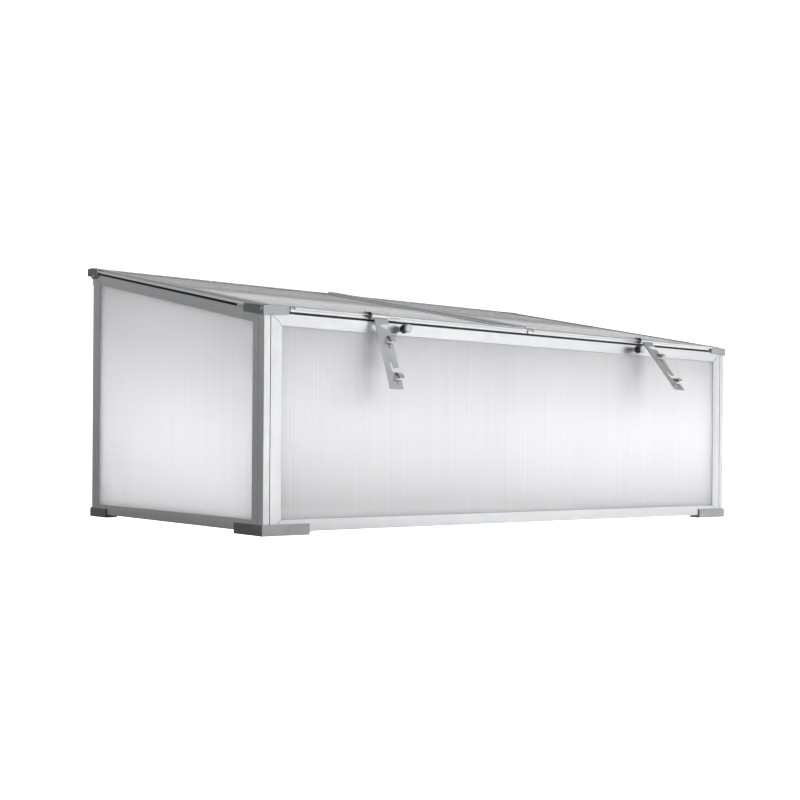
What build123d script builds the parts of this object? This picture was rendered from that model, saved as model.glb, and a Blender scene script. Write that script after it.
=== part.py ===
"""Cold frame: a low aluminium and twin-wall sheet box with two hinged lids and their stays.

Work frame used below: X to the right seen from the front, Y to the back, Z up, with
zero at the feet's front left corner. Everything is moved to the centre of the object's
box when it is written, so that the origin is the middle of the ground it covers.
Lids are built in their own frame (X, u up the slope, n off the slope) and then tilted.
"""
from build123d import *
from math import cos, sin, tan, radians
import os

# ---- overall size ----
width = 990.0
depth = 595.0
inset = 2.5                       # frame faces behind the feet's outer faces
front_height = 303.8              # top of the front wall
slope = 11.6                      # degrees, fall of the roof towards the front
rise = tan(radians(slope))

# ---- wall rails ----
rail_thickness = 12.0
rail_bottom = 5.0
window_bottom = 21.6
top_rail_height = 16.5
front_stile = 17.9
side_stile = 15.8
slot_start = 1.6                  # outer lip thickness in front of the sheet
slot_width = 4.2
slot_depth = 6.0
lip_height = 4.5                  # the lip round a window is stepped back a little
lip_step = 0.4
mitre_gap = 0.3
sheet = 4.0
sheet_grip = 5.2

# ---- corner posts ----
post_front_leg = 10.0
post_side_leg = 14.9
post_gap_front = 0.8
post_gap_side = 0.5
post_wall = 2.0
fin_gap = 0.3
post_foot = 3.2

# ---- feet ----
foot_height = 15.5
foot_skirt = 2.2
foot_floor = 3.0
foot_floor_width = 22.0
foot_rib = (18.5, 20.5, 10.0)     # inner rib: start, end, top
foot_prongs = ((3.2, 0.6, 2.0), (4.0, 4.0, 5.6))     # reach, lower edge, upper edge
foot_legs = {                     # length along X, length along Y
    "foot_front_left": (76.0, 79.0),
    "foot_front_right": (72.0, 79.0),
    "foot_rear_left": (76.0, 66.5),
    "foot_rear_right": (72.0, 66.5),
}

# ---- lids ----
lid_gap = 3.4                     # upright gap between wall top and lid, filled by the seal
seal_clearance = 0.2
lid_thickness = 7.1
lid_front = inset + 0.3
lid_rear = 591.0
lid_side = 2.9
meeting_line = 488.5
meeting_gap = 2.0
lid_front_rail = 16.0
lid_rear_rail = 18.0
lid_side_rail = 18.0
lid_slot_start = 1.4
lid_slot_width = 4.2
lid_sheet_grip = 5.0
lid_lip = (2.4, 1.7)              # front upstand: depth, height
bevel = (3.5, 0.8, 3.4)           # side rail bevel: depth, lower n, upper n
packer = (57.0, 77.0, 3.1)        # flange below the outer side rails: from, to, depth
corner_clip = 12.0
bar_width = 21.5                  # raised bar on the right lid's left rail
bar_height = 3.0
bar_chamfer = 0.8
lid_travel = 75.0

# ---- hinge along the back ----
hinge_y = 604.0
hinge_z = 430.6
bead_radius = 3.0
hinge_clearance = 0.1
ring_radius = 5.0
arm_thickness = 2.0
arm_foot = 2.5                    # how far the arm's root reaches under the rear rail
arm_foot_inset = 8.0
ring_margin = 4.0                 # degrees free each side of the arm
web = (592.8, 594.8, 405.0, 426.2)                   # plate on the wall: Y and Z limits
rail_shelf = (423.5, 427.2)       # heights of the shelf under the ring
rail_shelf_start = 598.0
arm_swing = 19.0                  # degrees the arm covers each side of its middle

# ---- rafter and seals under the lids ----
rafter_width = 28.0
rafter_height = 12.0
rafter_wall = 1.6
seal_width = 8.0
seal_inset = 1.0
seal_seat = 0.1                   # glue line between wall and seal
side_seal_y = (79.0, 571.0)
long_seal_inset = 30.0            # how far front and rear seals stop short of the posts
centre_seal_width = 20.0
centre_seal_gap = (8.0, 4.0)      # to the front seal, to the rear seal

# ---- stay bead, knuckles and clips ----
bead_y = -2.8
bead_z = 312.0
stay_bead_radius = 2.4
stay_bead_web = 1.4
knuckle_inner = 2.5
knuckle_outer = 3.9
knuckle_front = 130.0             # degrees of wrap ahead of the strip
knuckle_back = 70.0               # degrees of wrap behind it
strip_thickness = 1.6
strip_width = 24.0
strip_length = 115.0
knuckle_overhang = 5.5
clip_radius = 5.0
clip_width = 2.5
clip_gap = 0.3
clip_face_gap = 0.5               # between the clip and the lid's front face
clip_mouth = 26.0                 # degrees open each side, towards the lid
clip_legs = (                     # length, limits in u and in n from the bead, height of its tip
    (8.0, (-1.4, 0.6), (3.1, 4.7), 1.4),
    (13.0, (-4.7, -3.0), (-2.8, 1.6), 0.6),
)
stays = {                         # left edge of the strip, angle it leans out
    "left": (180.5, 21.0),
    "right": (754.8, 40.0),
}

# ---- studs on the front top rail ----
stud_x = (231.5, 739.0)
stud_z = 295.7
bolt_radius = 2.0
bolt_clearance = 0.05
stud_collar = (4.0, 2.5, -1.2)    # radius, from Y, to Y
stud_washer = (6.6, -7.2, -8.8)
stud_knob = (5.6, -8.8, -17.8)
stud_cap = (6.3, -17.8, -21.4)
stud_nut = (4.0, 14.6, 17.8)
knob_grooves = 18
groove_radius = 0.55
groove_offset = 0.25              # groove centres outside the knob's surface

# ---- caps at the top corners ----
cap_skirt = 2.2
cap_front_leg = 41.0
cap_side_leg = 55.5
cap_corner = (299.6, 312.8)       # lower and upper edge at the corner
cap_front_end = (302.8, 314.6)
cap_side_end = (309.6, 321.3)
cap_block = 7.0
cap_relief = 3.6                  # the lid's front face is cut back behind the cap
cap_peg = (5.4, 10.3, 12.0)       # peg in the hollow post: along X, along Y, depth
rear_cap_outline = (
    (571.0, 416.2), (571.0, 432.2), (597.0, 435.6), (613.0, 435.6),
    (613.0, 424.4), (598.0, 422.9), (595.0, 416.2),
)
rear_cap_lip = (14.0, 2.0)        # how far the lips reach along X, thickness
rear_cap_under = 605.5            # where the lip below the hinge starts

# ---- screws ----
screw_radius = 1.5
screw_clearance = 0.05
screw_head = (3.1, 1.6, 0.7, 0.8)         # radius, height, broken edge, slot width
screw_length = 6.0
cap_screw_y = 4.2
cap_screw_z = 308.6
rear_screw_y = 584.0
rear_screw_z = 419.6
rail_screw_count = 5              # screws holding the hinge rail
rail_screw_z = 415.5
rail_screw_depth = 3.4            # how far they reach into the rear top rail

plane_low = front_height + lid_gap            # lid underside above the front face
lid_origin_z = plane_low + rise * (lid_front - inset)
tilt_cos = cos(radians(slope))
tilt_sin = sin(radians(slope))
stay_reach = max(
    strip_length * sin(radians(lean)) + strip_thickness / 2 * cos(radians(lean))
    for _, lean in stays.values()
)
box_front = bead_y - stay_reach
box_rear = max(y for y, _ in rear_cap_outline)
to_origin = Location((-width / 2, -(box_front + box_rear) / 2, 0))


# ---- helpers ----
def block(x0, x1, y0, y1, z0, z1):
    """Box between two corners."""
    low = (min(x0, x1), min(y0, y1), min(z0, z1))
    size = (abs(x1 - x0), abs(y1 - y0), abs(z1 - z0))
    return Location(low) * Box(*size, align=(Align.MIN, Align.MIN, Align.MIN))


def prism(points, travel):
    """Flat outline of 3D points swept along a vector."""
    face = Face(Wire.make_polygon([Vector(*p) for p in points], close=True))
    return Solid.extrude(face, Vector(*travel))


def along_x(outline, x0, x1):
    """Outline of (y, z) points swept from x0 to x1."""
    return prism([(x0, y, z) for y, z in outline], (x1 - x0, 0, 0))


def along_y(outline, y0, y1):
    """Outline of (x, z) points swept from y0 to y1."""
    return prism([(x, y0, z) for x, z in outline], (0, y1 - y0, 0))


def along_z(outline, z0, z1):
    """Outline of (x, y) points swept from z0 to z1."""
    return prism([(x, y, z0) for x, y in outline], (0, 0, z1 - z0))


def rod_x(radius, x0, x1, y, z):
    """Cylinder along X."""
    middle = Location(((x0 + x1) / 2, y, z), (0, 90, 0))
    return middle * Cylinder(radius, abs(x1 - x0))


def rod_y(radius, x, y0, y1, z):
    """Cylinder along Y."""
    middle = Location((x, (y0 + y1) / 2, z), (90, 0, 0))
    return middle * Cylinder(radius, abs(y1 - y0))


def sector_x(outer, inner, start, end, x0, x1, y, z):
    """Part of a ring round an X axis, between two angles measured from +Y towards +Z."""
    ring = rod_x(outer, x0, x1, y, z) - rod_x(inner, x0 - 1, x1 + 1, y, z)
    steps = 8
    reach = outer * 2
    angles = [start + (end - start) * i / steps for i in range(steps + 1)]
    fan = [(y, z)]
    fan += [(y + reach * cos(radians(a)), z + reach * sin(radians(a))) for a in angles]
    return ring & along_x(fan, x0, x1)


def grown(window, extra):
    """A four-point window outline (from lower left, anticlockwise) moved out all round."""
    signs = ((-1, -1), (1, -1), (1, 1), (-1, 1))
    return [(x + sx * extra, z + sz * extra) for (x, z), (sx, sz) in zip(window, signs)]


def mitred(outer, window):
    """Outlines of the bottom, right, top and left rails between two four-point outlines."""
    o = outer
    w = window
    g = mitre_gap
    bottom = [(o[0][0] + g, o[0][1]), (o[1][0] - g, o[1][1]), (w[1][0] - g, w[1][1]), (w[0][0] + g, w[0][1])]
    right = [(o[1][0], o[1][1] + g), (o[2][0], o[2][1] - g), (w[2][0], w[2][1] - g), (w[1][0], w[1][1] + g)]
    top = [(o[2][0] - g, o[2][1]), (o[3][0] + g, o[3][1]), (w[3][0] + g, w[3][1]), (w[2][0] - g, w[2][1])]
    left = [(o[3][0], o[3][1] - g), (o[0][0], o[0][1] + g), (w[0][0], w[0][1] + g), (w[3][0], w[3][1] - g)]
    return {"bottom": bottom, "right": right, "top": top, "left": left}


def mirrored(shape):
    """The same piece at the other end of the frame."""
    return shape.mirror(Plane.YZ.offset(width / 2))


def save(name, *shapes, place=None):
    """Move a node's solids to the part's origin and write them."""
    solids = []
    for shape in shapes:
        moved = shape if place is None else place * shape
        solids += (to_origin * moved).solids()
    result = solids[0] if len(solids) == 1 else Compound(children=solids)
    result.label = name
    export_step(result, f"parts/{name}.step")


def roof(y, above=0.0):
    """Height of the walls' sloping top at a given Y, plus an amount."""
    return front_height + rise * (y - inset) + above


# ---- walls ----
front_y = inset
rear_y = depth - inset
left_x = inset
right_x = width - inset
frame_start_x = inset + post_front_leg + post_gap_front
frame_start_y = inset + post_side_leg + post_gap_side
rear_height = roof(rear_y - rail_thickness)
stud_hole_radius = bolt_radius + bolt_clearance
screw_hole_radius = screw_radius + screw_clearance
rail_screw_x = [width * (i + 0.5) / rail_screw_count for i in range(rail_screw_count)]


def wall(side, length, left_end, right_end, stile, place, top_holes=()):
    """A mitred frame of slotted rails with its sheet; heights are at its left and right ends."""
    outer = [(0, rail_bottom), (length, rail_bottom), (length, right_end), (0, left_end)]
    fall = (right_end - left_end) / length
    window = [
        (stile, window_bottom), (length - stile, window_bottom),
        (length - stile, left_end + fall * (length - stile) - top_rail_height),
        (stile, left_end + fall * stile - top_rail_height),
    ]
    slot = along_y(grown(window, slot_depth), slot_start, slot_start + slot_width)
    step = along_y(grown(window, lip_height), -1, lip_step)
    names = {"bottom": "bottom_rail", "top": "top_rail", "left": "stile_left", "right": "stile_right"}
    for key, outline in mitred(outer, window).items():
        rail = along_y(outline, 0, rail_thickness) - slot - step
        if key == "top":
            for hole in top_holes:
                rail = rail - hole
        save(f"{side}_{names[key]}", rail, place=place)
    sheet_y = slot_start + (slot_width - sheet) / 2
    save(f"{side}_panel", along_y(grown(window, sheet_grip), sheet_y, sheet_y + sheet), place=place)


def make_walls():
    """Front, rear, left and right walls; each is drawn as seen from outside and turned."""
    long_wall = width - 2 * frame_start_x
    short_wall = depth - 2 * frame_start_y
    low = roof(frame_start_y)
    high = roof(depth - frame_start_y)
    bolt_holes = [
        rod_y(stud_hole_radius, x - frame_start_x, -1, rail_thickness + 1, stud_z) for x in stud_x
    ]
    screw_holes = [
        rod_y(screw_hole_radius, x - frame_start_x, -1, rail_screw_depth + 1, rail_screw_z)
        for x in rail_screw_x
    ]
    wall("front", long_wall, front_height, front_height, front_stile,
         Location((frame_start_x, front_y, 0)), bolt_holes)
    wall("rear", long_wall, rear_height, rear_height, front_stile,
         Location((width - frame_start_x, rear_y, 0), (0, 0, 180)), screw_holes)
    wall("left", short_wall, high, low, side_stile,
         Location((left_x, depth - frame_start_y, 0), (0, 0, -90)))
    wall("right", short_wall, low, high, side_stile,
         Location((right_x, frame_start_y, 0), (0, 0, 90)))


def corner_post(height):
    """Post at the front left corner: a hollow corner section with two inner fins."""
    a = post_front_leg
    b = post_side_leg
    w = post_wall
    back = rail_thickness + fin_gap
    fin_reach_x = a + front_stile - 1.0
    fin_reach_y = b + side_stile - 1.0
    section = block(0, a, 0, b, post_foot, height) - block(w, a - w, w, b - w, post_foot - 1, height + 1)
    section = section + block(a - w, fin_reach_x, back, back + w, post_foot, height)
    section = section + block(back, back + w, back, fin_reach_y, post_foot, height)
    return Location((inset, inset, 0)) * section


def under_roof(shape):
    """Cut a piece off along the walls' sloping top."""
    above = along_x([(0, roof(0)), (depth, roof(depth)), (depth, roof(depth, 50)), (0, roof(depth, 50))],
                    -1, width + 1)
    return shape - above


def flipped_back(shape):
    """The same piece at the back of the frame."""
    return shape.mirror(Plane.XZ.offset(-depth / 2))


def make_posts():
    front = corner_post(front_height)
    rear_hole = rod_x(screw_hole_radius, 0, screw_length + 1, rear_screw_y, rear_screw_z)
    rear = under_roof(flipped_back(corner_post(roof(rear_y)))) - rear_hole
    save("post_front_left", front)
    save("post_front_right", mirrored(front))
    save("post_rear_left", rear)
    save("post_rear_right", mirrored(rear))


def corner_foot(leg_x, leg_y):
    """Moulded shoe at the front left corner: floor, outer skirts and inner ribs."""
    rib0, rib1, rib_top = foot_rib
    skirts = block(0, leg_x, 0, foot_skirt, 0, foot_height) + block(0, foot_skirt, 0, leg_y, 0, foot_height)
    floor = block(0, leg_x, 0, foot_floor_width, 0, foot_floor)
    floor = floor + block(0, foot_floor_width, 0, leg_y, 0, foot_floor)
    ribs = block(rib0, leg_x, rib0, rib1, 0, rib_top) + block(rib0, rib1, rib0, leg_y, 0, rib_top)
    return skirts + floor + ribs


def foot_prong(leg_x, reach, bottom, top):
    """Small slanted barb at the end of the front leg."""
    start = leg_x - 1
    tip = leg_x + reach
    outline = [(start, bottom), (tip, bottom), (tip - (top - bottom), top), (start, top)]
    return along_y(outline, foot_skirt / 4, foot_skirt)


def make_feet():
    for name, (leg_x, leg_y) in foot_legs.items():
        foot = corner_foot(leg_x, leg_y)
        if name == "foot_front_left":
            for prong in foot_prongs:
                foot = foot + foot_prong(leg_x, *prong)
        if "rear" in name:
            foot = flipped_back(foot)
        if "right" in name:
            foot = mirrored(foot)
        save(name, foot)


# ---- top corner caps ----
def front_cap():
    """L-shaped cover of the front left top corner, with a solid corner for its screw."""
    side = along_x([(0, cap_corner[0]), (cap_side_leg, cap_side_end[0]),
                    (cap_side_leg, cap_side_end[1]), (0, cap_corner[1])], 0, cap_skirt)
    face = along_y([(0, cap_corner[0]), (cap_front_leg, cap_front_end[0]),
                    (cap_front_leg, cap_front_end[1]), (0, cap_corner[1])], 0, cap_skirt)
    corner = block(0, cap_block, 0, cap_block, front_height + fin_gap, cap_corner[1])
    peg_start = inset + post_wall + fin_gap
    peg_x, peg_y, peg_depth = cap_peg
    peg = block(peg_start, peg_start + peg_x, peg_start, peg_start + peg_y,
                front_height - peg_depth, front_height - 1)
    neck = block(peg_start, cap_block, peg_start, cap_block, front_height - 2, front_height + 1)
    hole = rod_x(screw_hole_radius, -1, screw_length + 0.2, cap_screw_y, cap_screw_z)
    return side + face + corner + peg + neck - hole


def rear_cap():
    """End plate over the rear left top corner and the end of the hinge rail."""
    plate = along_x(rear_cap_outline, 0, cap_skirt)
    reach, lip = rear_cap_lip
    top = max(z for _, z in rear_cap_outline)
    bottom = rear_cap_outline[5][1]
    rear_lip = block(0, reach, box_rear - lip, box_rear, bottom + lip / 2, top)
    under_lip = block(0, reach, rear_cap_under, box_rear, bottom, bottom + lip)
    hole = rod_x(screw_hole_radius, -1, cap_skirt + 1, rear_screw_y, rear_screw_z)
    return plate + rear_lip + under_lip - hole


def make_caps():
    front = front_cap()
    rear = rear_cap()
    save("cap_front_left", front)
    save("cap_front_right", mirrored(front))
    save("cap_rear_left", rear)
    save("cap_rear_right", mirrored(rear))


def screw(length):
    """Pan-head screw along +X, its head's underside at zero."""
    radius, height, edge, slot_width = screw_head
    head = rod_x(radius, -height, 0, 0, 0)
    head = chamfer(head.edges().filter_by(GeomType.CIRCLE).sort_by(Axis.X)[0], edge)
    slot = block(-height - 1, -height + edge, -slot_width / 2, slot_width / 2, -radius, radius)
    return head - slot + rod_x(screw_radius, 0, length, 0, 0)


def make_screws():
    """All self-tapping screws of the base: caps and hinge rail."""
    front = Location((0, cap_screw_y, cap_screw_z)) * screw(screw_length)
    rear = Location((0, rear_screw_y, rear_screw_z)) * screw(screw_length)
    rail_screws = []
    for x in rail_screw_x:
        place = Location((x, web[1], rail_screw_z), (0, 0, -90))
        rail_screws.append(place * screw(web[1] - rear_y + rail_screw_depth - 0.3))
    save("frame_screws", front, mirrored(front), rear, mirrored(rear), *rail_screws)


# ---- hinge rail, rafter and seals ----
def make_hinge_rail():
    """Extrusion on the rear wall with a round groove open towards the lids."""
    closed = 180.0 + slope
    side_angle = arm_swing + ring_margin
    start = closed + side_angle
    end = 360.0 + closed - lid_travel - side_angle
    groove = bead_radius + hinge_clearance
    ring = sector_x(ring_radius, groove, start, end, left_x, right_x, hinge_y, hinge_z)
    plate = block(left_x, right_x, *web)
    low, high = rail_shelf
    shelf = along_x([(web[0], low), (hinge_y, low), (hinge_y, high), (rail_shelf_start, high),
                     (rail_shelf_start - 2, web[3]), (web[0], web[3])], left_x, right_x)
    rail = plate + shelf - rod_x(groove + 0.5, left_x - 1, right_x + 1, hinge_y, hinge_z) + ring
    for x in rail_screw_x:
        rail = rail - rod_y(screw_hole_radius, x, web[0] - 1, web[1] + 1, rail_screw_z)
    save("hinge_rail", rail)


def make_rafter():
    """Hollow bar from the front top rail to the rear top rail, flush with the sloping top."""
    y0 = front_y + rail_thickness + 0.2
    y1 = rear_y - rail_thickness - 0.2
    x0 = meeting_line - rafter_width / 2
    x1 = meeting_line + rafter_width / 2
    w = rafter_wall
    outside = along_x([(y0, roof(y0) - rafter_height), (y1, roof(y1) - rafter_height),
                       (y1, roof(y1)), (y0, roof(y0))], x0, x1)
    inside = along_x([(y0 - 1, roof(y0 - 1) - rafter_height + w), (y1 + 1, roof(y1 + 1) - rafter_height + w),
                      (y1 + 1, roof(y1 + 1) - w), (y0 - 1, roof(y0 - 1) - w)], x0 + w, x1 - w)
    save("centre_rafter", outside - inside)


def slope_strip(y0, y1, x0, x1, base0, base1):
    """Strip from a wall's top up to just under the lids."""
    top = lid_gap - seal_clearance
    return along_x([(y0, base0 + seal_seat), (y1, base1 + seal_seat), (y1, roof(y1, top)),
                    (y0, roof(y0, top))], x0, x1)


def make_seals():
    side_y0, side_y1 = side_seal_y
    front_y0 = front_y + seal_inset
    front_y1 = front_y0 + seal_width
    rear_y1 = rear_y - seal_inset - arm_foot - 1.5
    rear_y0 = rear_y - rail_thickness + seal_inset / 2
    x0 = frame_start_x + long_seal_inset
    x1 = width - x0
    save("front_seal", slope_strip(front_y0, front_y1, x0, x1, front_height, front_height))
    save("rear_seal", slope_strip(rear_y0, rear_y1, x0, x1, rear_height, rear_height))
    left = slope_strip(side_y0, side_y1, left_x + seal_inset, left_x + seal_inset + seal_width,
                       roof(side_y0), roof(side_y1))
    save("side_seals", left, mirrored(left))
    half = centre_seal_width / 2
    centre_y0 = front_y1 + centre_seal_gap[0]
    centre_y1 = rear_y0 - centre_seal_gap[1]
    centre = slope_strip(centre_y0, centre_y1, meeting_line - half, meeting_line + half,
                         roof(centre_y0), roof(centre_y1))
    save("centre_seal", centre)


# ---- studs ----
def ring_y(outer, inner, x, y0, y1, z):
    """Washer-like ring round a Y axis."""
    return rod_y(outer, x, y0, y1, z) - rod_y(inner, x, min(y0, y1) - 1, max(y0, y1) + 1, z)


def make_studs():
    hole = bolt_radius + bolt_clearance
    bolts = []
    collars = []
    knobs = []
    caps = []
    nuts = []
    for x in stud_x:
        bolts.append(rod_y(bolt_radius, x, stud_cap[2] + 1.4, stud_nut[2] + 1.0, stud_z))
        collars.append(ring_y(stud_collar[0], hole, x, stud_collar[1], stud_collar[2], stud_z))
        washer = ring_y(stud_washer[0], hole, x, stud_washer[1], stud_washer[2], stud_z)
        knob = ring_y(stud_knob[0], hole, x, stud_knob[1], stud_knob[2], stud_z)
        for i in range(knob_grooves):
            angle = radians(360.0 * i / knob_grooves)
            groove_x = x + (stud_knob[0] + groove_offset) * cos(angle)
            groove_z = stud_z + (stud_knob[0] + groove_offset) * sin(angle)
            knob = knob - rod_y(groove_radius, groove_x, stud_knob[1] - 0.6, stud_knob[2] - 1, groove_z)
        knobs.append(washer + knob)
        cap = rod_y(stud_cap[0], x, stud_cap[1], stud_cap[2], stud_z)
        cap = chamfer(cap.edges().filter_by(GeomType.CIRCLE).sort_by(Axis.Y)[0], 1.4)
        caps.append(cap - rod_y(hole, x, stud_cap[1] + 1, stud_cap[2] + 1.3, stud_z))
        nut = Location((x, (stud_nut[1] + stud_nut[2]) / 2, stud_z), (90, 0, 0)) * extrude(
            RegularPolygon(stud_nut[0], 6), (stud_nut[2] - stud_nut[1]) / 2, both=True)
        nuts.append(nut - rod_y(hole, x, stud_nut[1] - 1, stud_nut[2] + 1, stud_z))
    save("stud_bolts", *bolts)
    save("stud_collars", *collars)
    save("stud_knobs", *knobs)
    save("stud_caps", *caps)
    save("stud_nuts", *nuts)


# ---- lids ----
lid_place = Location((0, lid_front, lid_origin_z), (slope, 0, 0))
lid_length = (lid_rear - lid_front) / tilt_cos


def in_lid(y, z):
    """Turn an upright (Y, Z) position into the lid's own (u, n)."""
    dy = y - lid_front
    dz = z - lid_origin_z
    return dy * tilt_cos + dz * tilt_sin, dz * tilt_cos - dy * tilt_sin


def front_rail_fittings(x0, x1):
    """Upstand and round bead with its web, along a lid's front rail."""
    u, n = in_lid(bead_y, bead_z)
    lip_depth, lip_rise = lid_lip
    lip = block(x0, x1, 0, lip_depth, lid_thickness - 0.5, lid_thickness + lip_rise)
    bead = rod_x(stay_bead_radius, x0, x1, u, n)
    bridge = block(x0, x1, u, 0.5, n - stay_bead_web / 2, n + stay_bead_web / 2)
    return lip + bead + bridge


def rear_rail_fittings(x0, x1):
    """Arm and hinge bead along a lid's rear rail."""
    u, n = in_lid(hinge_y, hinge_z)
    bead = rod_x(bead_radius, x0, x1, u, n)
    arm = block(x0, x1, lid_length, u, n - arm_thickness / 2, n + arm_thickness / 2)
    foot = block(x0 + arm_foot_inset, x1 - arm_foot_inset, lid_length - arm_foot, lid_length + 0.5,
                 n - arm_thickness / 2, n + arm_thickness / 2)
    return bead + arm + foot


def raised_bar(x0, y0, y1):
    """Raised centre bar with broken edges, on top of a side rail."""
    c = bar_chamfer
    top = lid_thickness + bar_height
    outline = [(x0, lid_thickness), (x0 + bar_width, lid_thickness),
               (x0 + bar_width, top - c), (x0 + bar_width - c, top), (x0 + c, top), (x0, top - c)]
    return along_y(outline, y0, y1)


def make_lid(side, x0, x1):
    """Four mitred rails and a sheet; the outer corner at the front is clipped for the cap."""
    outer_left = side == "left"
    outline = [(x0, 0), (x1, 0), (x1, lid_length), (x0, lid_length)]
    window = [(x0 + lid_side_rail, lid_front_rail), (x1 - lid_side_rail, lid_front_rail),
              (x1 - lid_side_rail, lid_length - lid_rear_rail),
              (x0 + lid_side_rail, lid_length - lid_rear_rail)]
    slot = along_z(grown(window, slot_depth), lid_slot_start, lid_slot_start + lid_slot_width)
    rails = {}
    for key, points in mitred(outline, window).items():
        rails[key] = along_z(points, 0, lid_thickness) - slot
    outer_key = "left" if outer_left else "right"
    edge = x0 if outer_left else x1
    inward = 1 if outer_left else -1
    cap_end = cap_front_leg + 3.0
    clip = along_z([(edge - inward, -1), (edge + inward * corner_clip, -1),
                    (edge + inward * corner_clip, 0), (edge, corner_clip),
                    (edge - inward, corner_clip)], -1, lid_thickness + 1)
    relief_end = cap_end if outer_left else width - cap_end
    relief = block(edge - inward, relief_end, -1, cap_relief, -1, lid_thickness + 1)
    depth_x, low_n, high_n = bevel
    bevel_end = edge + inward * depth_x
    bevel_cut = along_y([(edge - inward, low_n - depth_x / 4), (edge, low_n), (bevel_end, high_n),
                         (bevel_end, lid_thickness + 1), (edge - inward, lid_thickness + 1)],
                        -1, lid_length + 1)
    packer_block = block(edge, edge + inward * 6.0, packer[0], packer[1], -packer[2], 0.5)
    rails[outer_key] = rails[outer_key] - clip - relief - bevel_cut + packer_block
    bead_start = cap_end + 3.0 if outer_left else x0 + 6.0
    bead_end = x1 - 6.0 if outer_left else width - cap_end - 3.0
    rails["bottom"] = rails["bottom"] - clip - relief + front_rail_fittings(bead_start, bead_end)
    rails["top"] = rails["top"] + rear_rail_fittings(x0 + 0.3, x1 - 0.3)
    if not outer_left:
        rails["left"] = rails["left"] + raised_bar(x0, 6.0, lid_length - 6.0)
    names = {"bottom": "front_rail", "top": "rear_rail", "left": "rail_left", "right": "rail_right"}
    for key, rail in rails.items():
        save(f"lid_{side}_{names[key]}", rail, place=lid_place)
    sheet_n = lid_slot_start + (lid_slot_width - sheet) / 2
    pane = along_z(grown(window, lid_sheet_grip), sheet_n, sheet_n + sheet)
    save(f"lid_{side}_pane", pane, place=lid_place)


def make_lids():
    make_lid("left", lid_side, meeting_line - meeting_gap / 2)
    make_lid("right", meeting_line + meeting_gap / 2, width - lid_side)


# ---- stays ----
hook_top = 12.7                   # distances down from the hinge
hook_bottom = 19.9
hook_end = 7.8                    # inner end of the hook mouth, across the strip
window_depth = 10.0
window_slant = (15.0, 7.0)        # across: top and bottom of the opening's slanted side
slit = (15.0, 1.3, 8.5)           # across, width, length below the opening
tongue_out = 6.8
tongue_edge = 15.6                # left edge of the tongue
tongue_flare = 0.8                # the tongue's lower end leans out a little more
tongue_starts = (33.0, 90.5)
j_width = 2.75
j_centre = 12.2
j_seat = 75.0
j_neck = 81.8
j_bottom = 88.5


def strip_cut(points):
    """Cut through the hanging strip; points are (across, down from the hinge)."""
    return along_y([(w, -s) for w, s in points], -strip_thickness, strip_thickness)


def hook_mouth():
    """Short notch near the hinge that takes the stud when the lid is shut."""
    right = strip_width + 1
    return strip_cut([
        (right, hook_top), (hook_end + 1.7, hook_top), (hook_end, hook_top + 1.3),
        (hook_end + 0.7, hook_top + 3.8), (hook_end + 4.2, hook_bottom - 1.2),
        (hook_end + 8.2, hook_bottom), (right, hook_bottom),
    ])


def j_notch():
    """J-shaped notch: in from the edge, then up to a round seat for the stud."""
    right = strip_width + 1
    left_side = j_centre - j_width
    shoulder = j_centre + j_width * 0.75
    path = strip_cut([
        (right, j_neck), (j_centre + j_width, j_neck), (shoulder, j_seat), (left_side, j_seat),
        (left_side, j_bottom - 4.5), (left_side + 1.3, j_bottom - 1.5), (left_side + 4.5, j_bottom),
        (right, j_bottom),
    ])
    seat = rod_y(j_width, j_centre, -strip_thickness, strip_thickness, -j_seat)
    seat = seat - block(shoulder, j_centre + 2 * j_width, -strip_thickness * 2, strip_thickness * 2,
                        -j_seat - j_width * 1.5, -j_seat + j_width * 1.5)
    return path + seat


def tongue_window(start):
    """Opening left by a bent-out tongue, with its slanted side and the slit below it."""
    end = start + window_depth
    right = strip_width + 1
    top_x, bottom_x = window_slant
    hole = strip_cut([(right, start), (top_x, start), (bottom_x, end - 2.0),
                      (bottom_x + 0.5, end), (right, end)])
    across, gap, length = slit
    lean = gap * 0.7
    cut = strip_cut([(across - gap / 2, end - 1), (across + gap / 2, end - 1),
                     (across + gap / 2 + lean, end + length), (across - gap / 2 + lean, end + length)])
    return hole + cut


def tongue(start):
    """Hood bent out of the strip: a slanted top, a front plate and a web back to the slanted side."""
    t = strip_thickness
    root = start - 1.5
    knee = start + 3.4
    end = start + window_depth
    out = tongue_out
    profile = [(-t / 2, -root), (-out - t / 2, -knee), (-out - t / 2 - tongue_flare, -end - 0.4),
               (-out + t / 2 - tongue_flare, -end - 0.4), (-out + t / 2, -knee - 0.6), (t / 2, -root - 1.2)]
    plate = along_x(profile, tongue_edge, strip_width)
    top_x, bottom_x = window_slant
    upper = (top_x, 0, -start - 0.4)
    lower = (bottom_x, 0, -end - 0.3)
    outer = (tongue_edge + t, -out, -end - 0.1)
    crown = (tongue_edge + t, -out, -knee)
    through = (t / 2, t / 2, 0)
    return plate + prism([upper, lower, outer], through) + prism([upper, outer, crown], through)


def stay(lean):
    """Notched strip hanging from the origin, its knuckle round an X axis."""
    half = strip_thickness / 2
    strip = block(0, strip_width, -half, half, -strip_length, -knuckle_inner - 0.3)
    strip = chamfer(strip.edges().filter_by(Axis.Y).sort_by(Axis.Z)[0:2], 1.2)
    strip = strip - hook_mouth() - j_notch()
    for start in tongue_starts:
        strip = strip - tongue_window(start) + tongue(start)
    down = 270.0
    knuckle = sector_x(knuckle_outer, knuckle_inner, down - knuckle_front, down + knuckle_back,
                       -knuckle_overhang, strip_width, 0, 0)
    return Location((0, 0, 0), (-lean, 0, 0)) * (strip + knuckle)


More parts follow.
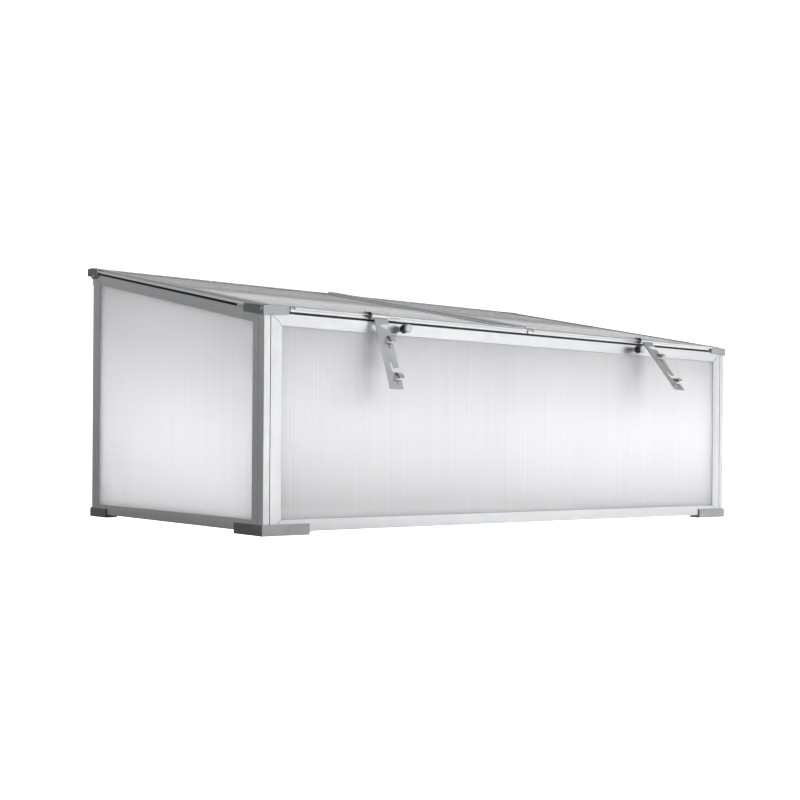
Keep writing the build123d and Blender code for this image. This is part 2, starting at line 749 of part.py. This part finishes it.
def stay_clip(edge):
    """Snap-on ring left of the knuckle with two legs along the bead, in the lid's own frame."""
    u, n = in_lid(bead_y, bead_z)
    x1 = edge - knuckle_overhang - clip_gap
    x0 = x1 - clip_width
    clip = sector_x(clip_radius, knuckle_inner, clip_mouth, 360.0 - clip_mouth, x0, x1, u, n)
    reach = clip_radius * 2
    clip = clip - block(x0 - 1, x1 + 1, -clip_face_gap, reach, n - reach, n + reach)
    for length, (u0, u1), (n0, n1), tip in clip_legs:
        middle = n + (n0 + n1) / 2
        outline = [(x0 + clip_width / 2, n + n0), (x0 + clip_width / 2, n + n1),
                   (x0 - length, middle + tip / 2), (x0 - length, middle - tip / 2)]
        clip = clip + along_y(outline, u + u0, u + u1)
    return clip


def make_stays():
    for side, (edge, lean) in stays.items():
        placed = Location((edge, bead_y, bead_z)) * stay(lean)
        save(f"stay_{side}", placed)
        save(f"stay_clip_{side}", stay_clip(edge), place=lid_place)


os.makedirs("parts", exist_ok=True)
make_walls()
make_posts()
make_feet()
make_caps()
make_screws()
make_hinge_rail()
make_rafter()
make_seals()
make_studs()
make_lids()
make_stays()
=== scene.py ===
"""Cold frame: the looks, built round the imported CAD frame. Metres, in the frame's own axes."""
from math import cos, sin, tan, pi, radians
import bpy
from mathutils import Matrix, Vector


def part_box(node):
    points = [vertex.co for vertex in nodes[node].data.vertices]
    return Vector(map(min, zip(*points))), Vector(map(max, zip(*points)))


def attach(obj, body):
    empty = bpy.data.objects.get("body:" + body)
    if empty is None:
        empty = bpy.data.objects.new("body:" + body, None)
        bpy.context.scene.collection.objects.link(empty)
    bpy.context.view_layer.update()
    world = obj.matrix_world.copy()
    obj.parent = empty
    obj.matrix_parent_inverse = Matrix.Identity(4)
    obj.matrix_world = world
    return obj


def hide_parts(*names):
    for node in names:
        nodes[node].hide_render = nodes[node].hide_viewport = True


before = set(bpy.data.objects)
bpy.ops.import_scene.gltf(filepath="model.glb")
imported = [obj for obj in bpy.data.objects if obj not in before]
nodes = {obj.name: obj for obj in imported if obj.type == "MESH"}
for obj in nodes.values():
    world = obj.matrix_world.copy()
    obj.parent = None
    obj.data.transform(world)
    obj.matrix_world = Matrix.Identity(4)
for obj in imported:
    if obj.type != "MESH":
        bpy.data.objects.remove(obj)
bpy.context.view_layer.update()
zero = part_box("foot_front_left")[0]          # front left corner, on the ground
slope = radians(11.6)                        # fall of the roof towards the front

# ---- edges of the CAD pieces ----
edge_small = 0.0002                          # stays, clips, screws, knobs
edge_metal = 0.0003                          # extrusions and small caps
edge_seal = 0.0004
edge_plastic = 0.0008                        # feet and corner caps
edge_segments = 2
sharp_angle = radians(35)                    # edges sharper than this are rounded
flat_angle = radians(0.5)                    # faces flatter than this are joined
weld_distance = 0.00001
normal_weight = 80

# ---- twin-wall sheets ----
rib_pitch = 0.006
thickness = 0.004
skin_dip = 0.00007                           # how far the skins sink between the ribs
skin_steps = 6                               # points across one cell's ripple
rib_inset = 0.0002                           # ribs end this far inside the skins

# ---- studio ----
floor_reach = 30.0
studio_white = 1.6                           # strength of the backdrop where it is seen
floor_glow = 1.7                             # the same for the floor
dim_level = 0.09                             # what reflections see between the glows
glows = (                                    # direction, dot product at start and full, strength
    ((0, 0, 1), 0.2, 0.95, 0.40),
    ((0.60, -0.80, 0.10), 0.72, 0.99, 0.68),
    ((0.634, -0.773, 0.08), 0.965, 0.999, 0.80),
    ((0.5, 0.8, 0.30), 0.45, 0.98, 0.24),
    ((-0.6, 0.8, 0.0), 0.7, 0.97, 0.22),
)
softboxes = (                                # name, place, aim, size, power
    ("key", (3.4, -5.9, 1.9), (0.0, -0.2, 0.15), (7.5, 4.6), 760),
    ("top", (0.0, 0.4, 3.2), (0.0, 0.1, 0.0), (3.5, 3.0), 40),
)

# ---- camera ----
yaw = radians(37.08)
roll = 0.007
eye = Vector((zero.x, zero.y, 0)) + Vector((-0.7974, -1.3624, 0.1147))


# ---------------------------------------------------------------- node trees
class Tree:
    """Small helper for building a material's or world's nodes."""

    def __init__(self, owner):
        owner.use_nodes = True
        self.tree = owner.node_tree
        self.tree.nodes.clear()

    def add(self, kind, settings=None, **inputs):
        """New node; inputs are given by name, or as i0, i1, ... by index."""
        node = self.tree.nodes.new(kind)
        for key, value in (settings or {}).items():
            setattr(node, key, value)
        for key, value in inputs.items():
            by_index = key[0] == "i" and key[1:].isdigit()
            self.put(node.inputs[int(key[1:]) if by_index else key.replace("_", " ")], value)
        return node

    def put(self, socket, value):
        if isinstance(value, bpy.types.NodeSocket):
            self.tree.links.new(value, socket)
        else:
            socket.default_value = value

    def coords(self, scale):
        """Object coordinates in metres, stretched; scale is in features per metre."""
        place = self.add("ShaderNodeTexCoord")
        return self.add("ShaderNodeMapping", Vector=place.outputs["Object"], Scale=scale).outputs[0]

    def noise(self, scale, detail=2.0, rough=0.5):
        """Noise with scale (x, y, z) features per metre."""
        made = self.add("ShaderNodeTexNoise", Vector=self.coords(scale), Scale=1.0, Detail=detail,
                        Roughness=rough)
        return made.outputs["Fac"]

    def span(self, value, low, high, start=0.0, end=1.0):
        """value from start..end mapped to low..high."""
        return self.add("ShaderNodeMapRange", i0=value, i1=start, i2=end, i3=low, i4=high).outputs[0]

    def blend(self, factor, a, b):
        mix = self.add("ShaderNodeMix", {"data_type": "RGBA"})
        self.put(mix.inputs[0], factor)
        self.put(mix.inputs[6], a)
        self.put(mix.inputs[7], b)
        return mix.outputs[2]

    def bump(self, height, strength, distance, normal=None):
        node = self.add("ShaderNodeBump", Strength=strength, Distance=distance, Height=height)
        if normal is not None:
            self.put(node.inputs["Normal"], normal)
        return node.outputs[0]


def grey(value, alpha=1.0):
    return (value, value, value, alpha)


def material(name):
    made = bpy.data.materials.new(name)
    return made, Tree(made)


def surface(tree, **inputs):
    shader = tree.add("ShaderNodeBsdfPrincipled", **inputs)
    out = tree.add("ShaderNodeOutputMaterial")
    tree.tree.links.new(shader.outputs[0], out.inputs[0])
    return shader


def aluminium(name, along, shade=0.80, rough=(0.29, 0.40), crease_shade=0.0):
    """Extruded aluminium: faint die lines along the bar, cloudy handling marks.

    crease_shade is how much painted shade darkens the metal in its tight creases and hollows, where ambient
    occlusion finds little open sky.
    """
    made, t = material(name)
    fine = {"x": (5, 900, 900), "y": (900, 5, 900), "z": (900, 900, 5)}[along]
    lines = t.noise(fine, 3.0, 0.6)
    broad = t.noise((9, 9, 9), 3.0, 0.55)
    marks = t.noise((60, 60, 60), 4.0, 0.6)
    dull = (shade * 0.95, shade * 0.965, shade * 0.98, 1)
    bright = (shade, shade * 1.003, shade * 1.006, 1)
    tint = t.blend(t.span(broad, 0.0, 1.0, 0.3, 0.7), dull, bright)
    tint = t.blend(t.span(lines, 0.0, 0.25, 0.45, 0.75), tint, grey(shade * 0.72))
    if crease_shade:
        # painted shade: where ambient occlusion finds the metal hemmed in, its colour is pulled towards
        # near-black
        open_sky = t.add("ShaderNodeAmbientOcclusion", Distance=0.007).outputs["AO"]
        tint = t.blend(t.span(open_sky, 0.0, crease_shade, 0.95, 0.45), tint, grey(0.03))
    wear = t.span(marks, rough[0], rough[1], 0.35, 0.7)
    surface(t, Base_Color=tint, Metallic=1.0, Roughness=wear, Anisotropic=0.35,
            Normal=t.bump(lines, 0.12, 0.0002))
    return made


def moulded(name, colour, rough=0.5, grain=2200, spread=0.12):
    """Moulded plastic with a fine spark-eroded texture and slightly scuffed patches."""
    made, t = material(name)
    texture = t.noise((grain, grain, grain), 1.0)
    cloud = t.noise((35, 35, 35), 3.0)
    light = tuple(min(1.0, c * (1 + spread) + 0.006) for c in colour) + (1,)
    dark = tuple(c * (1 - spread) for c in colour) + (1,)
    tint = t.blend(t.span(cloud, 0.0, 1.0, 0.3, 0.7), dark, light)
    surface(t, Base_Color=tint, Roughness=t.span(cloud, rough - 0.07, rough + 0.09, 0.3, 0.7),
            Normal=t.bump(texture, 0.25, 0.0001))
    return made


def rubber(name):
    made, t = material(name)
    pores = t.noise((1500, 1500, 1500))
    dust = t.noise((80, 80, 80), 3.0)
    clean = (0.012, 0.012, 0.013, 1)
    dusty = (0.035, 0.034, 0.033, 1)
    tint = t.blend(t.span(dust, 0.0, 1.0, 0.4, 0.75), clean, dusty)
    surface(t, Base_Color=tint, Roughness=t.span(dust, 0.62, 0.85, 0.3, 0.7),
            Normal=t.bump(pores, 0.3, 0.0001))
    return made


def zinc(name):
    made, t = material(name)
    patches = t.noise((400, 400, 400), 3.0)
    bluish = (0.62, 0.63, 0.66, 1)
    yellowish = (0.80, 0.80, 0.78, 1)
    tint = t.blend(t.span(patches, 0.0, 1.0, 0.35, 0.65), bluish, yellowish)
    surface(t, Base_Color=tint, Metallic=1.0, Roughness=t.span(patches, 0.22, 0.36, 0.3, 0.7),
            Normal=t.bump(patches, 0.08, 0.0001))
    return made


def twin_wall(name, along, opacity, rough, through=0.97, shade=1.0, grazing=5.0):
    """Milky twin-wall sheet: clear skins dulled by fine draw lines along the ribs.

    opacity is the share of light the skin scatters, through how much of that goes on inwards;
    a lower grazing exponent makes the gloss set in sooner when the sheet is seen edge on; shade is painted
    shade, darkening the sheet's colour and what it lets through, to give darker copies of one sheet for how
    the light falls on each.
    """
    made, t = material(name)
    fine = {"z": (420, 420, 3), "y": (420, 3, 3)}[along]
    lines = t.noise(fine, 2.0, 0.6)
    cloud = t.noise((2.5, 2.5, 2.5))
    # painted shade: shade scales the milky colours down
    thin = (0.87 * shade, 0.87 * shade, 0.88 * shade, 1)
    thick = (0.95 * shade, 0.95 * shade, 0.96 * shade, 1)
    tint = t.blend(t.span(lines, 0.0, 1.0, 0.2, 0.8), thin, thick)
    relief = t.bump(lines, 0.05, 0.0001)
    dull = t.add("ShaderNodeBsdfDiffuse", Color=tint, Normal=relief)
    glow = t.add("ShaderNodeBsdfTranslucent", Color=tint, Normal=relief)
    milky = t.add("ShaderNodeMixShader", i0=through, i1=dull.outputs[0], i2=glow.outputs[0])
    # painted shade: shade also dims what the clear part lets through
    clear = t.add("ShaderNodeBsdfTransparent", Color=grey(shade))
    body = t.add("ShaderNodeMixShader", i0=opacity, i1=clear.outputs[0], i2=milky.outputs[0])
    facing = t.add("ShaderNodeLayerWeight", Blend=0.5).outputs["Facing"]
    steep = t.add("ShaderNodeMath", {"operation": "POWER"}, i0=facing, i1=grazing).outputs[0]
    gloss = t.add("ShaderNodeBsdfAnisotropic", Color=grey(1.0),
                  Roughness=t.span(cloud, rough, rough + 0.08), Normal=relief)
    coated = t.add("ShaderNodeMixShader", i0=t.span(steep, 0.03, 1.0), i1=body.outputs[0],
                   i2=gloss.outputs[0])
    out = t.add("ShaderNodeOutputMaterial")
    t.tree.links.new(coated.outputs[0], out.inputs[0])
    return made


metal = {axis: aluminium("aluminium_" + axis, axis) for axis in "xyz"}
# The stays' aluminium carries painted shade in its creases (up to 0.9 of the way to near-black).
stay_metal = aluminium("stay_aluminium", "z", 0.82, (0.34, 0.48), 0.9)
plastic_grey = moulded("grey_plastic", (0.22, 0.225, 0.235), 0.42)
plastic_light = moulded("light_grey_plastic", (0.34, 0.35, 0.36), 0.45)
plastic_black = moulded("black_plastic", (0.018, 0.018, 0.019), 0.4)
seal_black = rubber("black_rubber")
steel = zinc("zinc_steel")
# The front and rear sheets (shade 0.84) and the roof sheet (shade 0.71) are darker copies of the side sheet:
# painted shade for how the light falls on each, not a different sheet.
sheet_long = twin_wall("twin_wall_sheet_long", "z", 0.72, 0.29, 0.60, 0.84)
sheet_side = twin_wall("twin_wall_sheet_side", "z", 0.75, 0.29)
sheet_roof = twin_wall("twin_wall_sheet_roof", "y", 0.5, 0.10, 0.85, 0.71, 3.0)
ribs = twin_wall("twin_wall_ribs", "z", 0.6, 0.3)


# ---------------------------------------------------------------- CAD nodes
def finish_of(name):
    """Material and edge radius in metres for a CAD node that stays in view."""
    if name.startswith(("foot_", "cap_")):
        return plastic_grey, edge_plastic
    if name.startswith("stay_clip"):
        return plastic_black, edge_small
    if name.startswith("stay_"):
        return stay_metal, edge_small
    if name.endswith(("_seal", "_seals")):
        return seal_black, edge_seal
    if name in ("stud_bolts", "stud_nuts", "frame_screws"):
        return steel, edge_small
    if name == "stud_knobs":
        return plastic_black, edge_small
    if name in ("stud_caps", "stud_collars"):
        return plastic_light, edge_metal
    if name.startswith("post_") or "stile" in name:
        return metal["z"], edge_metal
    front_to_back = ("left_", "right_", "lid_left_rail", "lid_right_rail", "centre_rafter")
    return metal["y" if name.startswith(front_to_back) else "x"], edge_metal


for name, cad in nodes.items():
    if name.endswith(("_panel", "_pane")):
        continue
    finish, radius = finish_of(name)
    cad.data.materials.clear()
    cad.data.materials.append(finish)
    weld = cad.modifiers.new("weld", "WELD")
    weld.merge_threshold = weld_distance
    flat = cad.modifiers.new("flat", "DECIMATE")
    flat.decimate_type = "DISSOLVE"
    flat.angle_limit = flat_angle
    edge = cad.modifiers.new("edge", "BEVEL")
    edge.width = radius
    edge.segments = edge_segments
    edge.limit_method = "ANGLE"
    edge.angle_limit = sharp_angle
    edge.use_clamp_overlap = True
    edge.harden_normals = False
    shade = cad.modifiers.new("shade", "WEIGHTED_NORMAL")
    shade.keep_sharp = False
    shade.weight = normal_weight


# ---------------------------------------------------------------- twin-wall sheets
def sheet(name, node, body, place, width, length_at, finish):
    """One twin-wall sheet: two slightly rippled skins with ribs between them.

    place takes (across the ribs, along the ribs, through the sheet) to the frame's axes;
    length_at gives the ribs' length at a distance across the sheet.
    """
    verts = []
    faces = []
    cells = max(1, round(width / rib_pitch))
    pitch = width / cells
    columns = cells * skin_steps
    for side in (0, 1):
        for i in range(columns + 1):
            across = i * pitch / skin_steps
            dip = skin_dip * (1 - cos(2 * pi * across / pitch)) / 2
            depth = dip if side == 0 else thickness - dip
            verts.append((across, 0.0, depth))
            verts.append((across, length_at(across), depth))
    back = 2 * (columns + 1)                 # index of the second skin's first point
    for i in range(columns):
        a = 2 * i
        b = back + a
        faces.append((a, a + 1, a + 3, a + 2))
        faces.append((b, b + 2, b + 3, b + 1))
        faces.append((a, a + 2, b + 2, b))
        faces.append((a + 1, b + 1, b + 3, a + 3))
    last = 2 * columns
    faces.append((0, back, back + 1, 1))
    faces.append((last, last + 1, back + last + 1, back + last))
    first_rib = len(faces)
    for i in range(1, cells):
        across = i * pitch
        length = length_at(across)
        start = len(verts)
        verts += [(across, 0.0, rib_inset), (across, length, rib_inset),
                  (across, length, thickness - rib_inset), (across, 0.0, thickness - rib_inset)]
        faces.append((start, start + 1, start + 2, start + 3))
    mesh = bpy.data.meshes.new(name)
    mesh.from_pydata([place @ Vector(v) for v in verts], [], faces)
    mesh.update()
    mesh.materials.append(finish)
    mesh.materials.append(ribs)
    for poly in mesh.polygons:
        poly.use_smooth = True
        poly.material_index = 1 if poly.index >= first_rib else 0
    piece = bpy.data.objects.new(name, mesh)
    bpy.context.scene.collection.objects.link(piece)
    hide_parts(node)
    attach(piece, body)


def axes(origin, across, along, through):
    """Matrix that takes the sheet's own axes to the frame's."""
    rows = Matrix((across, along, through)).transposed().to_4x4()
    return Matrix.Translation(origin) @ rows


for side in ("front", "rear"):
    lo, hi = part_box(side + "_panel")
    tall = hi.z - lo.z
    sheet(side + "_sheet", side + "_panel", "base", axes(lo, (1, 0, 0), (0, 0, 1), (0, 1, 0)),
          hi.x - lo.x, lambda across: tall, sheet_long)
for side in ("left", "right"):
    lo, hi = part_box(side + "_panel")
    tall = hi.z - lo.z
    deep = hi.y - lo.y
    sheet(side + "_sheet", side + "_panel", "base", axes(lo, (0, 1, 0), (0, 0, 1), (1, 0, 0)),
          deep, lambda across: tall - tan(slope) * (deep - across), sheet_side)
for side in ("left", "right"):
    node = f"lid_{side}_pane"
    lo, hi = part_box(node)
    deep = (hi.y - lo.y - thickness * sin(slope)) / cos(slope)
    corner = Vector((lo.x, lo.y + thickness * sin(slope), lo.z))
    sheet(f"lid_{side}_sheet", node, "lid_" + side,
          axes(corner, (1, 0, 0), (0, cos(slope), sin(slope)), (0, -sin(slope), cos(slope))),
          hi.x - lo.x, lambda across: deep, sheet_roof)


# ---------------------------------------------------------------- studio
def in_view(tree):
    """1 for rays that show the studio itself: straight from the camera or through a sheet."""
    rays = tree.add("ShaderNodeLightPath")
    return tree.add("ShaderNodeMath", {"operation": "MAXIMUM"}, i0=rays.outputs["Is Camera Ray"],
                    i1=rays.outputs["Is Transmission Ray"]).outputs[0]


def floor_material():
    """White where it is seen; for reflections and bounce light it carries painted light, lighter towards the
    front right where the key light falls and darker behind and to the left.
    """
    made, t = material("floor_paint_and_painted_light")
    cloud = t.noise((0.6, 0.6, 0.6))
    pale = t.add("ShaderNodeBsdfDiffuse", Color=t.blend(cloud, grey(0.16), grey(0.20)))
    spot = t.add("ShaderNodeTexCoord").outputs["Object"]
    lift = t.add("ShaderNodeEmission", Color=grey(1.0), Strength=floor_glow)
    shown = t.add("ShaderNodeAddShader", i0=pale.outputs[0], i1=lift.outputs[0])
    # painted light: a pool of light on the floor, lighter towards the front right, darker behind and to the
    # left
    lit = t.add("ShaderNodeVectorMath", {"operation": "DOT_PRODUCT"}, i0=spot,
                i1=(0.55, -0.83, 0)).outputs["Value"]
    painted_light_pool = t.blend(t.span(lit, 0.0, 1.0, -0.05, 0.22), grey(0.30), grey(0.95))
    hidden = t.add("ShaderNodeBsdfDiffuse", Color=painted_light_pool)
    choose = t.add("ShaderNodeMixShader", i0=in_view(t), i1=hidden.outputs[0], i2=shown.outputs[0])
    out = t.add("ShaderNodeOutputMaterial")
    t.tree.links.new(choose.outputs[0], out.inputs[0])
    return made


floor_mesh = bpy.data.meshes.new("floor")
corners = [(x * floor_reach, y * floor_reach, 0) for x, y in ((-1, -1), (1, -1), (1, 1), (-1, 1))]
floor_mesh.from_pydata(corners, [], [(0, 1, 2, 3)])
floor_mesh.materials.append(floor_material())
floor = bpy.data.objects.new("floor", floor_mesh)
bpy.context.scene.collection.objects.link(floor)


def toward(tree, direction, aim, start, full, strength):
    """Smooth glow around a direction."""
    dot = tree.add("ShaderNodeVectorMath", {"operation": "DOT_PRODUCT"}, i0=direction,
                   i1=Vector(aim).normalized()).outputs["Value"]
    return tree.add("ShaderNodeMapRange", {"interpolation_type": "SMOOTHSTEP"}, i0=dot, i1=start,
                    i2=full, i3=0.0, i4=strength).outputs[0]


world = bpy.data.worlds.new("studio")
bpy.context.scene.world = world
t = Tree(world)
direction = t.add("ShaderNodeTexCoord").outputs["Generated"]
level = dim_level
for glow in glows:
    level = t.add("ShaderNodeMath", {"operation": "ADD"}, i0=toward(t, direction, *glow), i1=level).outputs[0]
dim = t.add("ShaderNodeBackground", Color=(0.97, 0.985, 1.0, 1), Strength=level)
white = t.add("ShaderNodeBackground", Color=grey(1.0), Strength=studio_white)
choose = t.add("ShaderNodeMixShader", i0=in_view(t), i1=dim.outputs[0], i2=white.outputs[0])
out = t.add("ShaderNodeOutputWorld")
t.tree.links.new(choose.outputs[0], out.inputs[0])


def softbox(name, place, aim, size, power):
    """Area light that reflections don't show."""
    light = bpy.data.lights.new(name, "AREA")
    light.shape = "RECTANGLE"
    light.size, light.size_y = size
    light.energy = power
    lamp = bpy.data.objects.new(name, light)
    lamp.location = place
    lamp.rotation_euler = (Vector(aim) - Vector(place)).to_track_quat("-Z", "Y").to_euler()
    lamp.visible_glossy = False
    bpy.context.scene.collection.objects.link(lamp)


for box in softboxes:
    softbox(*box)


# ---------------------------------------------------------------- camera
ahead = Vector((sin(yaw), cos(yaw), 0))
right = Vector((cos(yaw), -sin(yaw), 0))
up = Vector((0, 0, 1))
side_axis = right * cos(roll) + up * sin(roll)
up_axis = up * cos(roll) - right * sin(roll)
lens = bpy.data.cameras.new("camera")
lens.sensor_width = 36
lens.lens = 52.32
lens.shift_y = 0.066
lens.clip_start = 0.05
camera = bpy.data.objects.new("camera", lens)
camera.matrix_world = Matrix.Translation(eye) @ Matrix((side_axis, up_axis, -ahead)).transposed().to_4x4()
bpy.context.scene.collection.objects.link(camera)
bpy.context.scene.camera = camera
bpy.context.scene.view_settings.view_transform = "Standard"
bpy.context.scene.view_settings.look = "None"
